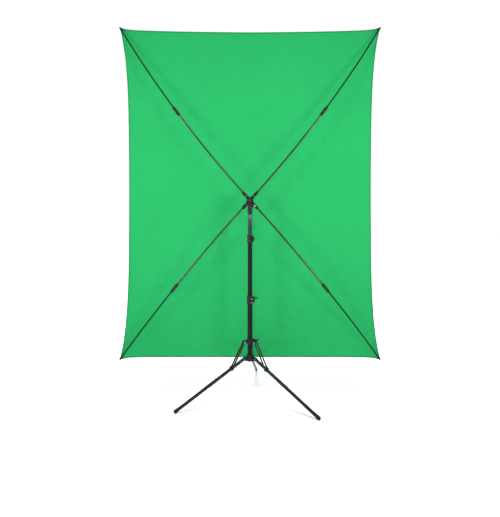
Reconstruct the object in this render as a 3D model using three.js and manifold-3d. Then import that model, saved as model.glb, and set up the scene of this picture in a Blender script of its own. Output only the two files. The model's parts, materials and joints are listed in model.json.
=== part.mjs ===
// A collapsible backdrop support: a cloth stretched between four flexible telescopic arms, whose hub
// stands on a three-section light stand with a folding tripod.
// Millimetres, +Z up. While the parts are made the pole stands on the Z axis, the floor is z = 0 and
// the cloth faces -Y. The finished group is shifted so that its origin is on the floor, under the
// middle of its bounding box.
import * as THREE from "three";
import { mergeVertices } from "three/addons/utils/BufferGeometryUtils.js";
import Module from "manifold-3d";

const wasm = await Module();
wasm.setup();

// ---- Driving dimensions ------------------------------------------------------------------------

const GAP = 0.35; // clearance between touching or sliding pieces

// Cloth: corner points, waist of its edges, and the plane it is stretched in.
const CLOTH_HALF_WIDTH = 797;
const CLOTH_TOP = 2213;
const CLOTH_BOTTOM = 180;
const CLOTH_BACK = -130; // y of the cloth's back face
const CLOTH_THICKNESS = 1.2;
const SIDE_WAIST = { flare: 0, flareReach: 1, sweep: 59, sweepReach: 220 };
const TOP_WAIST = { flare: 14, flareReach: 38, sweep: 20, sweepReach: 450 };
const BOTTOM_WAIST = { flare: 16, flareReach: 42, sweep: 0, sweepReach: 1 };
const EDGE_STEPS = [6, 16, 32, 60, 110, 190, 310, 480, 700]; // distances from a corner along an edge

// Arms: circular arcs that leave the hub in its own plane and bend forward to the cloth's corners.
const HUB_Z = 1153;
const HUB_Y = -29; // middle plane of the cross of sockets
const ARM_SLOPE = THREE.MathUtils.degToRad(47.5); // from horizontal, where an arm leaves the hub
const CORNER_INSET = 8; // from a cloth corner to the end of its rod
const CROSS_THICKNESS = 24;
const BOLT_RADIUS = 4;
const SOCKET_START = 15; // distances along an arm from the hub's centre
const SOCKET_END = 66;
const INNER_START = 26;
const LOCK_MIDDLE = 690;
const LOCK_LENGTH = 70;
const ROD_OVERLAP = 70; // length of rod inside the inner tube
const INNER_TUBE = { outer: 5.4, inner: 4.6 }; // radii
const ROD_RADIUS = 4.2;
const ROD_TIP_LENGTH = 24;
const ARMS = [
  { name: "1", side: 1, up: 1 },
  { name: "2", side: -1, up: 1 },
  { name: "3", side: -1, up: -1 },
  { name: "4", side: 1, up: -1 },
];

// Pole: radii and levels of its sections.
const LOWER_TUBE = { outer: 14.6, inner: 13.5, bottom: 230, top: 572 };
const MID_TUBE = { outer: 13.1, inner: 12, bottom: 447, top: 925 };
const TOP_TUBE = { outer: 11.6, inner: 10.5, bottom: 665, top: 1070 };
const STUD = { radius: 8, flange: 13, plug: 25, top: 1124 };
const SLEEVE = { outer: 14, bottom: 1077, top: 1136 };
const NECK_BACK = 8; // y of the back of the sleeve's neck
const CLAMP_HEIGHT = 46;
const CLAMP_GRIP = 20; // how far a tube's end stands in the clamp on top of it
const LUG = { height: 32, middle: 24 }; // middle: its level above the clamp's lower end

// Tripod: legs hinge on the bottom hub, and doubled struts tie them to the sliding collar.
const LEG_BEARINGS = [54.4, 174.4, 294.4]; // degrees from +Y towards -X
const LEG_SLOPE = THREE.MathUtils.degToRad(29.3); // below horizontal when open
const LEG_PIVOT = { radius: 40, z: 234 };
const LEG_SECTION = { width: 13, height: 17, wall: 1.3, corner: 3.8 };
const EAR_THICKNESS = 2.5; // of the bottom hub's forks
const STRUT_PIVOT_RADIUS = 38;
const STRUT_ON_LEG = 85; // distance of the strut joint from the leg's pivot
const STRUT_LENGTH = 160;
const STRUT = { width: 11, thickness: 2 };
const COLLAR_HEIGHT = 33;
const PIN_RADIUS = 2.6;
const FOOT = { width: 15.4, height: 19.4, sole: 10, boot: 14 };

// Knobs: each knob's bearing in degrees from +Y towards -X, its screw's length, how far its lever
// reaches past the screw and bends up, and on a clamp its level above the clamp's lower end.
const KNOBS = {
  spreader: { bearing: 90, shaft: 18, reach: 18, lift: 5.5 },
  lower: { bearing: 90, shaft: 19, reach: 13, lift: 1.5, level: 32 },
  upper: { bearing: 42, shaft: 18.5, reach: 9, lift: 1.5, level: 24 },
  hub: { bearing: 90, shaft: 17.6, reach: 10, lift: 1.5 },
};

// ---- Finishes ----------------------------------------------------------------------------------

const finish = (color, roughness, metalness) => () =>
  new THREE.MeshStandardMaterial({ color, roughness, metalness });
const finishes = {
  blackMetal: finish("#1b1b1d", 0.35, 0.6),
  blackPlastic: finish("#161617", 0.6, 0.0),
  rubber: finish("#101010", 0.9, 0.0),
  bareMetal: finish("#b9bcc0", 0.25, 1.0),
  cloth: finish("#33c371", 0.85, 0.0),
};

// ---- Solids ------------------------------------------------------------------------------------

/** Leaves only the position attribute, with shared corners merged, so the surface is closed. */
function closed(geometry) {
  geometry.deleteAttribute("normal");
  geometry.deleteAttribute("uv");
  return mergeVertices(geometry, 1e-3);
}

function toSolid(geometry) {
  const { index, attributes } = closed(geometry);
  return new wasm.Manifold(
    new wasm.Mesh({
      numProp: 3,
      vertProperties: attributes.position.array,
      triVerts: new Uint32Array(index.array),
    }),
  );
}

function toGeometry(solid) {
  const { numProp, vertProperties, triVerts, numVert } = solid.getMesh();
  const positions = new Float32Array(numVert * 3);
  for (let i = 0; i < numVert; i++) {
    positions.set(vertProperties.subarray(i * numProp, i * numProp + 3), i * 3);
  }
  const geometry = new THREE.BufferGeometry();
  geometry.setAttribute("position", new THREE.BufferAttribute(positions, 3));
  geometry.setIndex(new THREE.BufferAttribute(triVerts, 1));
  return geometry;
}

/** Joins the first list of geometries and cuts the second list out of them. */
function carve(added, removed = []) {
  const whole = added.map(toSolid).reduce((a, b) => a.add(b));
  return toGeometry(removed.map(toSolid).reduce((a, b) => a.subtract(b), whole));
}

/** A solid of revolution about Z from [radius, z] points, in order up its outside. */
function turned(profile, segments = 32) {
  const points = profile.map(([r, z]) => new THREE.Vector2(r, z));
  return new THREE.LatheGeometry(points, segments).rotateX(Math.PI / 2);
}

/** A tube about Z, open at both ends. */
function pipe(outer, inner, bottom, top, segments = 32) {
  return turned(
    [
      [inner, bottom],
      [outer, bottom],
      [outer, top],
      [inner, top],
      [inner, bottom],
    ],
    segments,
  );
}

/** A solid rod about Z. */
function rod(radius, bottom, top, segments = 32) {
  return turned(
    [
      [0, bottom],
      [radius, bottom],
      [radius, top],
      [0, top],
    ],
    segments,
  );
}

function block(sizeX, sizeY, sizeZ, x = 0, y = 0, z = 0) {
  return new THREE.BoxGeometry(sizeX, sizeY, sizeZ).translate(x, y, z);
}

/** A flat plate of thickness t in the XZ plane, centred on y, from its outline. */
function plate(shape, thickness, y = 0, curveSegments = 4) {
  const options = { depth: thickness, bevelEnabled: false, curveSegments };
  return new THREE.ExtrudeGeometry(shape, options)
    .rotateX(Math.PI / 2)
    .translate(0, y + thickness / 2, 0);
}

/** The outline of a bar with round ends about (0, 0) and (length, 0), with a pin hole at the first. */
function linkShape(length, radius) {
  const shape = new THREE.Shape();
  shape.absarc(length, 0, radius, -Math.PI / 2, Math.PI / 2, false);
  shape.absarc(0, 0, radius, Math.PI / 2, (3 * Math.PI) / 2, false);
  shape.closePath();
  shape.holes.push(pinHole(0));
  return shape;
}

function pinHole(x) {
  return new THREE.Path().absarc(x, 0, PIN_RADIUS + GAP, 0, 2 * Math.PI, true);
}

/** A rounded rectangle with its first size along X and its second along Y. */
function roundedRectangle(width, height, corner, Outline = THREE.Shape) {
  const [x, y] = [width / 2 - corner, height / 2 - corner];
  const outline = new Outline();
  outline.absarc(x, y, corner, 0, Math.PI / 2, false);
  outline.absarc(-x, y, corner, Math.PI / 2, Math.PI, false);
  outline.absarc(-x, -y, corner, Math.PI, (3 * Math.PI) / 2, false);
  outline.absarc(x, -y, corner, (3 * Math.PI) / 2, 2 * Math.PI, false);
  outline.closePath();
  return outline;
}

// ---- Assembly helpers --------------------------------------------------------------------------

const stand = new THREE.Group();
stand.name = "backdrop_support";

/** Adds a named piece to a group, in one of the finishes. */
function piece(parent, name, finishName, geometry) {
  const mesh = new THREE.Mesh(geometry, finishes[finishName]());
  mesh.name = name;
  parent.add(mesh);
  return mesh;
}

/** A group at a point, whose X axis has the given bearing in degrees from +Y towards -X. */
function facing(parent, name, bearing, x = 0, z = 0) {
  const turn = new THREE.Group();
  turn.rotation.z = THREE.MathUtils.degToRad(90 + bearing);
  const group = new THREE.Group();
  group.name = name;
  group.position.set(x, 0, z);
  turn.add(group);
  parent.add(turn);
  return group;
}

// ---- Pole --------------------------------------------------------------------------------------

const lowerClampZ = LOWER_TUBE.top - CLAMP_GRIP;
const upperClampZ = MID_TUBE.top - CLAMP_GRIP;

/** A clamp on the end of a tube: a split collar that narrows to the sliding tube, with a knob's lug. */
function clampBody(tube, slider, bottom, knob) {
  const top = bottom + CLAMP_HEIGHT;
  const outside = tube.outer + 3.4;
  const grip = slider.outer + GAP;
  const body = turned([
    [0, bottom],
    [outside - 1.5, bottom],
    [outside, bottom + 2],
    [outside, bottom + 16],
    [outside - 1.2, bottom + 17.5],
    [outside - 1.2, bottom + 21],
    [outside, bottom + 22.5],
    [outside, top - 3],
    [outside - 2, top],
    [0, top],
  ]);
  const lug = block(12, 15, LUG.height, outside + 3, 0, bottom + LUG.middle);
  const bores = [rod(tube.outer + GAP, bottom - 1, tube.top + GAP), rod(grip, bottom, top + 1)];
  const screwHole = rod(3 + GAP, 0, 40, 16)
    .rotateY(Math.PI / 2)
    .translate(0, 0, bottom + knob.level);
  const slit = block(9, 1.6, 26, outside + 1, 0, top - 10);
  return turnTo(carve([body, lug], [...bores, screwHole, slit]), knob.bearing);
}

function turnTo(geometry, bearing) {
  return geometry.rotateZ(THREE.MathUtils.degToRad(90 + bearing));
}

/** A lever knob on a screw, whose axis is the group's X axis and whose screw starts at x = 0. */
function leverKnob({ shaft, reach, lift }) {
  const screw = rod(3, 0, shaft, 12).rotateY(Math.PI / 2);
  const hub = turned(
    [
      [0, shaft - 5],
      [4.6, shaft - 5],
      [5.4, shaft - 4],
      [5.4, shaft + 3],
      [4.4, shaft + 4],
      [0, shaft + 4],
    ],
    16,
  ).rotateY(Math.PI / 2);
  const tip = shaft + reach;
  const outline = new THREE.Shape();
  outline.moveTo(shaft - 3, -4.2);
  outline.lineTo(shaft + 3, -4);
  outline.quadraticCurveTo(tip - 6, lift / 3 - 3, tip, lift - 1);
  outline.quadraticCurveTo(tip + 2, lift + 1, tip - 1, lift + 2);
  outline.quadraticCurveTo(tip - 7, lift / 3 + 3, shaft + 3, 3.8);
  outline.lineTo(shaft - 3, 4.2);
  outline.closePath();
  return carve([screw, hub, plate(outline, 6, 0, 4)]);
}

function makePole() {
  piece(stand, "lower_tube", "blackMetal", pipeOf(LOWER_TUBE));
  piece(stand, "mid_tube", "blackMetal", pipeOf(MID_TUBE));
  piece(stand, "top_tube", "blackMetal", pipeOf(TOP_TUBE));
  const lower = clampBody(LOWER_TUBE, MID_TUBE, lowerClampZ, KNOBS.lower);
  const upper = clampBody(MID_TUBE, TOP_TUBE, upperClampZ, KNOBS.upper);
  piece(stand, "lower_clamp", "blackPlastic", lower);
  piece(stand, "upper_clamp", "blackPlastic", upper);
  piece(stand, "stud", "bareMetal", studBody());
  const clamps = [
    ["lower", lowerClampZ, MID_TUBE],
    ["upper", upperClampZ, TOP_TUBE],
  ];
  for (const [name, bottom, slider] of clamps) {
    const { bearing, level } = KNOBS[name];
    const axis = facing(stand, `${name}_knob_axis`, bearing, slider.outer + 1, bottom + level);
    piece(axis, `${name}_knob`, "blackPlastic", leverKnob(KNOBS[name]));
  }
}

function pipeOf({ outer, inner, bottom, top }) {
  return pipe(outer, inner, bottom, top);
}

/** The stud that carries the hub: a plug in the top tube, a flange on it and a grooved stud. */
function studBody() {
  const { radius, flange, plug, top } = STUD;
  const seat = TOP_TUBE.top + GAP;
  return turned([
    [0, seat - plug],
    [TOP_TUBE.inner - GAP, seat - plug],
    [TOP_TUBE.inner - GAP, seat],
    [flange, seat],
    [flange, seat + 5],
    [radius, seat + 5],
    [radius, top - 22],
    [radius - 1.6, top - 19],
    [radius - 1.6, top - 12],
    [radius, top - 9],
    [radius, top - 1.5],
    [radius - 1.5, top],
    [0, top],
  ]);
}

// ---- Tripod ------------------------------------------------------------------------------------

// A strut pair passes outside the forks, so it stays clear of them when the legs close.
const forkHalf = LEG_SECTION.width / 2 + GAP;
const betweenStruts = 2 * (forkHalf + EAR_THICKNESS);
const strutOffset = betweenStruts / 2 + GAP + STRUT.thickness / 2; // a strut's middle plane from the leg's

/** Height of the collar's pivots above the legs' pivots, for a leg at a slope below horizontal. */
function spreadHeight(slope) {
  const run = LEG_PIVOT.radius - STRUT_PIVOT_RADIUS + STRUT_ON_LEG * Math.cos(slope);
  return Math.sqrt(STRUT_LENGTH ** 2 - run ** 2) - STRUT_ON_LEG * Math.sin(slope);
}
const collarZ = LEG_PIVOT.z + spreadHeight(LEG_SLOPE);

/** The two ears of a fork: plates on each side of the XZ plane, out to the leg's pivot. */
function ears(reach, radius, height) {
  const shape = new THREE.Shape();
  shape.moveTo(9, -height / 2);
  shape.lineTo(reach, -radius);
  shape.absarc(reach, 0, radius, -Math.PI / 2, Math.PI / 2, false);
  shape.lineTo(9, height / 2);
  shape.closePath();
  shape.holes.push(pinHole(reach));
  const middle = forkHalf + EAR_THICKNESS / 2;
  return [-middle, middle].map((y) => plate(shape, EAR_THICKNESS, y));
}

/** Rotates copies of a list of geometries to the three bearings of the legs. */
function atEachLeg(geometries) {
  return LEG_BEARINGS.flatMap((bearing) => geometries.map((g) => turnTo(g.clone(), bearing)));
}

function makeBaseHub() {
  const { radius, z } = LEG_PIVOT;
  const outside = LOWER_TUBE.outer + 8;
  const body = turned([
    [0, z - 13],
    [outside - 2, z - 13],
    [outside, z - 10],
    [outside, z + 8],
    [outside - 4, z + 13],
    [outside - 5, z + 24],
    [0, z + 24],
  ]);
  const forks = ears(radius, 7.5, 22).map((g) => g.translate(0, 0, z));
  const seat = rod(LOWER_TUBE.outer + GAP, LOWER_TUBE.bottom - GAP, z + 30);
  const hub = carve([body, ...atEachLeg(forks)], [seat]);
  piece(stand, "base_hub", "blackPlastic", hub);
}

/** A leg's pivot pin: flush with the fork's ears, so that the struts can pass it. */
function pinBody() {
  const half = forkHalf + EAR_THICKNESS;
  return turned(
    [
      [0, -half],
      [PIN_RADIUS - 0.5, -half],
      [PIN_RADIUS, 0.5 - half],
      [PIN_RADIUS, half - 0.5],
      [PIN_RADIUS - 0.5, half],
      [0, half],
    ],
    12,
  ).rotateX(Math.PI / 2);
}

/** The sliding collar: a sleeve with three tongues that the struts straddle, and a boss for its knob. */
function makeSpreaderCollar() {
  const outside = LOWER_TUBE.outer + 4;
  const body = turned([
    [0, collarZ - 14],
    [outside - 1.5, collarZ - 14],
    [outside, collarZ - 12.5],
    [outside, collarZ + 8],
    [outside - 1.5, collarZ + 10],
    [outside - 1.5, collarZ + COLLAR_HEIGHT - 16],
    [outside - 3, collarZ + COLLAR_HEIGHT - 14],
    [0, collarZ + COLLAR_HEIGHT - 14],
  ]);
  const tongue = new THREE.Shape();
  tongue.moveTo(14, -10);
  tongue.lineTo(STRUT_PIVOT_RADIUS, -6);
  tongue.absarc(STRUT_PIVOT_RADIUS, 0, 6, -Math.PI / 2, Math.PI / 2, false);
  tongue.lineTo(14, 10);
  tongue.closePath();
  const pinHalf = strutOffset + STRUT.thickness / 2 + 2;
  const tongues = [
    plate(tongue, betweenStruts).translate(0, 0, collarZ),
    rod(PIN_RADIUS, -pinHalf, pinHalf, 12)
      .rotateX(Math.PI / 2)
      .translate(STRUT_PIVOT_RADIUS, 0, collarZ),
  ];
  const boss = turnTo(block(14, 13, 14, outside + 2, 0, collarZ + 5), KNOBS.spreader.bearing);
  const screwHole = rod(3 + GAP, 0, 60, 16).rotateY(Math.PI / 2).translate(0, 0, collarZ + 5);
  const bore = rod(LOWER_TUBE.outer + GAP, collarZ - 40, collarZ + 40);
  const holes = [bore, turnTo(screwHole, KNOBS.spreader.bearing)];
  piece(stand, "spreader_collar", "blackPlastic", carve([body, boss, ...atEachLeg(tongues)], holes));
  const knobStart = LOWER_TUBE.outer + 1;
  const axis = facing(stand, "spreader_knob_axis", KNOBS.spreader.bearing, knobStart, collarZ + 5);
  piece(axis, "spreader_knob", "blackPlastic", leverKnob(KNOBS.spreader));
}

// The leg's length follows from its slope: the sole's near edge touches the floor.
const soleStart = (LEG_PIVOT.z - (FOOT.height / 2) * Math.cos(LEG_SLOPE)) / Math.sin(LEG_SLOPE);
const legStart = 18; // distances from the pivot
const legEnd = soleStart - 2;

/** Sweeps a section along X, with the section's X axis pointing down. */
function alongX(section, from, to) {
  const options = { depth: to - from, bevelEnabled: false, curveSegments: 2 };
  return new THREE.ExtrudeGeometry(section, options).rotateY(Math.PI / 2).translate(from, 0, 0);
}

/** The leg: a rectangular tube with rounded edges. */
function legTube() {
  const { width, height, wall, corner } = LEG_SECTION;
  const section = roundedRectangle(height, width, corner);
  const inside = roundedRectangle(height - 2 * wall, width - 2 * wall, corner - wall, THREE.Path);
  section.holes.push(inside);
  return alongX(section, legStart, legEnd);
}

/** The leg's end fitting: an eye on the pivot, a shank, and a plug inside the leg tube. */
function legKnuckle() {
  const { width, height, wall, corner } = LEG_SECTION;
  const eyeRadius = 7;
  const shankEnd = legStart - GAP;
  const eye = new THREE.Shape();
  eye.absarc(0, 0, eyeRadius, Math.PI / 2, (3 * Math.PI) / 2, false);
  eye.lineTo(shankEnd, -eyeRadius);
  eye.lineTo(shankEnd, eyeRadius);
  eye.closePath();
  eye.holes.push(pinHole(0));
  const inset = 2 * (wall + GAP);
  const section = roundedRectangle(height - inset, width - inset, corner - wall - GAP);
  const plug = alongX(section, shankEnd - 1, legStart + 25);
  return carve([plate(eye, width - 2 * GAP), plug]);
}

/** The clip around a leg that carries the ends of its struts. */
function legClip() {
  const { width, height } = LEG_SECTION;
  const outer = block(18, betweenStruts, height + 5, STRUT_ON_LEG, 0, 1);
  const window = block(30, width + 2 * GAP, height + 2 * GAP, STRUT_ON_LEG, 0, 0);
  return carve([outer], [window]);
}

/** The foot: a boot over the leg's end with a flat sole that lies on the floor. */
function footCap() {
  const h = FOOT.height / 2;
  const [run, rise] = [Math.cos(LEG_SLOPE) * FOOT.sole, Math.sin(LEG_SLOPE) * FOOT.sole];
  const side = new THREE.Shape();
  side.moveTo(soleStart - FOOT.boot, -h);
  side.lineTo(soleStart, -h);
  side.lineTo(soleStart + run, -h + rise);
  side.quadraticCurveTo(soleStart + run - 1, h - 1, soleStart + run - 6, h);
  side.lineTo(soleStart - FOOT.boot, h);
  side.closePath();
  const { width, height } = LEG_SECTION;
  const pocket = block(100, width + 2 * GAP, height + 2 * GAP, legEnd + GAP - 50, 0, 0);
  return carve([plate(side, FOOT.width)], [pocket]);
}

/** A flat strut in the XZ plane from the collar's pivot to the leg's, with rivet heads outside. */
function strutBody(sign) {
  const start = new THREE.Vector2(STRUT_PIVOT_RADIUS, collarZ);
  const along = Math.cos(LEG_SLOPE) * STRUT_ON_LEG;
  const end = new THREE.Vector2(LEG_PIVOT.radius + along, LEG_PIVOT.z - Math.sin(LEG_SLOPE) * STRUT_ON_LEG);
  const reach = end.clone().sub(start);
  const y = sign * strutOffset;
  const bar = plate(linkShape(reach.length(), STRUT.width / 2), STRUT.thickness, y);
  const head = rod(3.8, 0, 1.6, 12)
    .rotateX(-sign * Math.PI / 2)
    .translate(reach.length(), y + sign * (STRUT.thickness / 2 - 0.2), 0);
  return carve([bar, head]).rotateY(-reach.angle());
}

function makeLegs() {
  LEG_BEARINGS.forEach((bearing, i) => {
    const number = i + 1;
    const pivot = facing(stand, `leg_${number}_pivot`, bearing, LEG_PIVOT.radius, LEG_PIVOT.z);
    piece(pivot, `leg_pin_${number}`, "bareMetal", pinBody());
    const leg = new THREE.Group();
    leg.rotation.y = LEG_SLOPE;
    pivot.add(leg);
    piece(leg, `leg_tube_${number}`, "blackMetal", legTube());
    piece(leg, `leg_knuckle_${number}`, "blackPlastic", legKnuckle());
    piece(leg, `leg_clip_${number}`, "blackPlastic", legClip());
    piece(leg, `foot_cap_${number}`, "rubber", footCap());
    const top = facing(stand, `strut_${number}_pivot`, bearing, STRUT_PIVOT_RADIUS, collarZ);
    piece(top, `strut_${number}_left`, "blackMetal", strutBody(1));
    piece(top, `strut_${number}_right`, "blackMetal", strutBody(-1));
  });
}

// ---- X frame -----------------------------------------------------------------------------------

const hubCentre = new THREE.Vector3(0, HUB_Y, HUB_Z);

/** The circular arc of an arm, by arc length from the hub's centre. */
class ArmArc {
  constructor(side, up) {
    const cornerZ = up > 0 ? CLOTH_TOP : CLOTH_BOTTOM;
    const corner = new THREE.Vector3(side * CLOTH_HALF_WIDTH, CLOTH_BACK + ROD_RADIUS + 2.4, cornerZ);
    const start = new THREE.Vector3(side * Math.cos(ARM_SLOPE), 0, up * Math.sin(ARM_SLOPE));
    const chord = corner.clone().sub(hubCentre);
    chord.setLength(chord.length() - CORNER_INSET);
    const bend = start.angleTo(chord);
    this.start = start;
    this.radius = chord.length() / (2 * Math.sin(bend));
    this.fullLength = 2 * bend * this.radius;
    this.inward = chord.clone().projectOnPlane(start).normalize();
    this.centre = hubCentre.clone().addScaledVector(this.inward, this.radius);
    this.axis = start.clone().cross(this.inward);
  }

  at(length) {
    const angle = length / this.radius;
    return this.centre
      .clone()
      .addScaledVector(this.inward, -this.radius * Math.cos(angle))
      .addScaledVector(this.start, this.radius * Math.sin(angle));
  }

  direction(length) {
    const angle = length / this.radius;
    return this.start
      .clone()
      .multiplyScalar(Math.cos(angle))
      .addScaledVector(this.inward, Math.sin(angle));
  }
}

/** A stretch of an arm's arc as a curve that a section can be swept along. */
class ArmStretch extends THREE.Curve {
  constructor(arc, from, to) {
    super();
    Object.assign(this, { arc, from, to });
  }

  getPoint(t) {
    return this.arc.at(this.from + t * (this.to - this.from));
  }
}

/** Sweeps a round section, hollow if an inner radius is given, along a stretch of an arm. */
function sweptTube(arc, from, to, outer, inner = 0, steps = 7, curveSegments = 5) {
  const section = new THREE.Shape().absarc(0, 0, outer, 0, 2 * Math.PI, false);
  if (inner > 0) {
    section.holes.push(new THREE.Path().absarc(0, 0, inner, 0, 2 * Math.PI, true));
  }
  const extrudePath = new ArmStretch(arc, from, to);
  return new THREE.ExtrudeGeometry(section, { extrudePath, steps, curveSegments });
}

/** A group whose Z axis runs along an arm at a distance from the hub's centre. */
function alongArm(arc, name, length) {
  const group = new THREE.Group();
  group.name = name;
  group.position.copy(arc.at(length));
  group.quaternion.setFromUnitVectors(new THREE.Vector3(0, 0, 1), arc.direction(length));
  stand.add(group);
  return group;
}

/** The banded socket that holds an arm's inner tube in the hub. */
function socketBody() {
  const length = SOCKET_END - SOCKET_START;
  const bore = INNER_TUBE.outer + 2 * GAP; // room for the tube's curve
  const depth = INNER_START - SOCKET_START;
  return turned(
    [
      [0, 0],
      [9, 0],
      [10, 2],
      [10, 16],
      [8.6, 17.5],
      [8.6, 20],
      [10, 21.5],
      [10, 31],
      [8.8, 32.5],
      [8.8, 36],
      [9.6, 37],
      [8, length],
      [bore, length],
      [bore, depth - GAP],
      [0, depth - GAP],
    ],
    14,
  );
}

/** The twist lock around an arm's joint: a spindle with a waist, open for the tubes inside it. */
function lockBody() {
  const half = LOCK_LENGTH / 2;
  const wide = INNER_TUBE.outer + 2 * GAP; // room for the tubes' curve
  const narrow = ROD_RADIUS + 2 * GAP;
  return turned(
    [
      [wide, -half],
      [7, -half],
      [9.2, -half + 16],
      [10, -9],
      [8.7, -7],
      [8.7, -2],
      [10, 0],
      [10, 9],
      [8.8, 11],
      [9.4, 17],
      [6, half],
      [narrow, half],
      [narrow, 14],
      [wide, 13],
      [wide, -half],
    ],
    14,
  );
}

function makeArm({ name, side, up }) {
  const arc = new ArmArc(side, up);
  const innerEnd = LOCK_MIDDLE + 10;
  const tipStart = arc.fullLength - ROD_TIP_LENGTH;
  const inner = sweptTube(arc, INNER_START, innerEnd, INNER_TUBE.outer, INNER_TUBE.inner);
  const outer = sweptTube(arc, innerEnd - ROD_OVERLAP, tipStart, ROD_RADIUS);
  piece(alongArm(arc, `arm_${name}_root`, SOCKET_START), `arm_socket_${name}`, "blackPlastic", socketBody());
  piece(stand, `inner_tube_${name}`, "blackMetal", closed(inner));
  piece(alongArm(arc, `lock_${name}_axis`, LOCK_MIDDLE), `lock_collar_${name}`, "blackPlastic", lockBody());
  const slide = new THREE.Group();
  slide.name = `rod_${name}_slide`;
  slide.userData = { centre: arc.centre, axis: arc.axis, radius: arc.radius };
  stand.add(slide);
  piece(slide, `outer_rod_${name}`, "blackMetal", closed(outer));
  const tip = alongArm(arc, `arm_${name}_tip`, tipStart + GAP);
  piece(tip, `rod_tip_${name}`, "blackPlastic", tipBody());
}

/** A bulb-ended plastic tip on the end of a rod. */
function tipBody() {
  const length = ROD_TIP_LENGTH - GAP;
  return turned(
    [
      [0, 0],
      [4.8, 0],
      [4.8, length - 10],
      [3.6, length - 8],
      [3.8, length - 6],
      [5, length - 4],
      [3.8, length - 1],
      [0, length],
    ],
    12,
  );
}

/** The block that the four sockets stand on, bolted to the sleeve, with a flat seat for each. */
function crossBody() {
  const disc = rod(21, -CROSS_THICKNESS / 2, CROSS_THICKNESS / 2, 32).rotateX(Math.PI / 2);
  const seats = ARMS.map(({ side, up }) => {
    const slope = Math.atan2(up * Math.sin(ARM_SLOPE), side * Math.cos(ARM_SLOPE));
    return block(60, 40, 60, 30 + SOCKET_START - GAP, 0, 0).rotateY(-slope);
  });
  const boltHole = rod(BOLT_RADIUS + GAP, -30, 30, 16).rotateX(Math.PI / 2);
  return carve([disc], [...seats, boltHole]).translate(0, HUB_Y, HUB_Z);
}

/** The sleeve on the stand's stud, with a neck that reaches up and forward to the cross. */
function sleeveBody() {
  const { outer, bottom, top } = SLEEVE;
  const body = turned([
    [0, bottom],
    [outer - 1.5, bottom],
    [outer, bottom + 1.5],
    [outer, top - 4],
    [outer - 3, top],
    [0, top],
  ]);
  const front = HUB_Y + CROSS_THICKNESS / 2 + GAP;
  const depth = NECK_BACK - front;
  const neck = block(22, depth, 60, 0, front + depth / 2, HUB_Z - 14);
  const boss = turnTo(block(10, 14, 14, outer + 2, 0, hubKnobZ), KNOBS.hub.bearing);
  const bore = rod(STUD.radius + GAP, bottom - 1, STUD.top + 1);
  const screwHole = rod(3 + GAP, 0, 30, 16).rotateY(Math.PI / 2).translate(0, 0, hubKnobZ);
  const boltHole = rod(BOLT_RADIUS + GAP, -40, 40, 16).rotateX(Math.PI / 2).translate(0, 0, HUB_Z);
  return carve([body, neck, boss], [bore, turnTo(screwHole, KNOBS.hub.bearing), boltHole]);
}

/** The bolt through cross and neck, with a domed head behind and a nut in front. */
function centreBolt() {
  const front = HUB_Y - CROSS_THICKNESS / 2 - GAP;
  const back = NECK_BACK + GAP;
  return turned(
    [
      [0, -back - 5],
      [5, -back - 4],
      [7.5, -back],
      [BOLT_RADIUS, -back],
      [BOLT_RADIUS, -front],
      [7, -front],
      [7, -front + 5],
      [0, -front + 5],
    ],
    16,
  )
    .rotateX(Math.PI / 2)
    .translate(0, 0, HUB_Z);
}

const hubKnobZ = HUB_Z - 35;

function makeFrameHub() {
  piece(stand, "cross_hub", "blackPlastic", crossBody());
  piece(stand, "hub_sleeve", "blackPlastic", sleeveBody());
  piece(stand, "centre_bolt", "bareMetal", centreBolt());
  const axis = facing(stand, "hub_knob_axis", KNOBS.hub.bearing, STUD.radius + 1, hubKnobZ);
  piece(axis, "hub_knob", "blackPlastic", leverKnob(KNOBS.hub));
}

// ---- Cloth -------------------------------------------------------------------------------------

/** How far an edge of the cloth is drawn in, at a distance from its nearer corner. */
function waist({ flare, flareReach, sweep, sweepReach }, distance) {
  const easeIn = (reach) => 1 - Math.exp(-distance / reach);
  return flare * easeIn(flareReach) + sweep * easeIn(sweepReach);
}

/** The cloth's outline: four corner points, with drawn-in edges between them. */
function clothShape() {
  const width = 2 * CLOTH_HALF_WIDTH;
  const height = CLOTH_TOP - CLOTH_BOTTOM;
  const distances = (full) => {
    const near = [0, ...EDGE_STEPS];
    return [...near, full / 2, ...EDGE_STEPS.map((d) => full - d).reverse()];
  };
  const points = [];
  const edge = (full, waistOf, place) => {
    for (const d of distances(full)) {
      const [x, z] = place(d, waist(waistOf, Math.min(d, full - d)));
      points.push(new THREE.Vector2(x, z));
    }
  };
  edge(width, BOTTOM_WAIST, (d, inset) => [d - CLOTH_HALF_WIDTH, CLOTH_BOTTOM + inset]);
  edge(height, SIDE_WAIST, (d, inset) => [CLOTH_HALF_WIDTH - inset, CLOTH_BOTTOM + d]);
  edge(width, TOP_WAIST, (d, inset) => [CLOTH_HALF_WIDTH - d, CLOTH_TOP - inset]);
  edge(height, SIDE_WAIST, (d, inset) => [inset - CLOTH_HALF_WIDTH, CLOTH_TOP - d]);
  return new THREE.Shape(points);
}

function makeCloth() {
  const cloth = plate(clothShape(), CLOTH_THICKNESS, CLOTH_BACK - CLOTH_THICKNESS / 2);
  piece(stand, "backdrop", "cloth", closed(cloth));
}

// ---- The whole stand ---------------------------------------------------------------------------

makePole();
makeBaseHub();
makeSpreaderCollar();
makeLegs();
makeFrameHub();
ARMS.forEach(makeArm);
makeCloth();

const box = new THREE.Box3().setFromObject(stand, true);
const middle = box.getCenter(new THREE.Vector3());
stand.position.set(-middle.x, -middle.y, -box.min.z);

export default stand;
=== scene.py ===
"""Looks of a collapsible backdrop support: cloth, flexible arms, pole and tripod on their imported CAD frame.

Metres, +Z up, the cloth faces -Y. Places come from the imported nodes' boxes and the record's joints.
"""

import json
import math

import bmesh
import bpy
import numpy as np
from mathutils import Matrix, Vector


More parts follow.
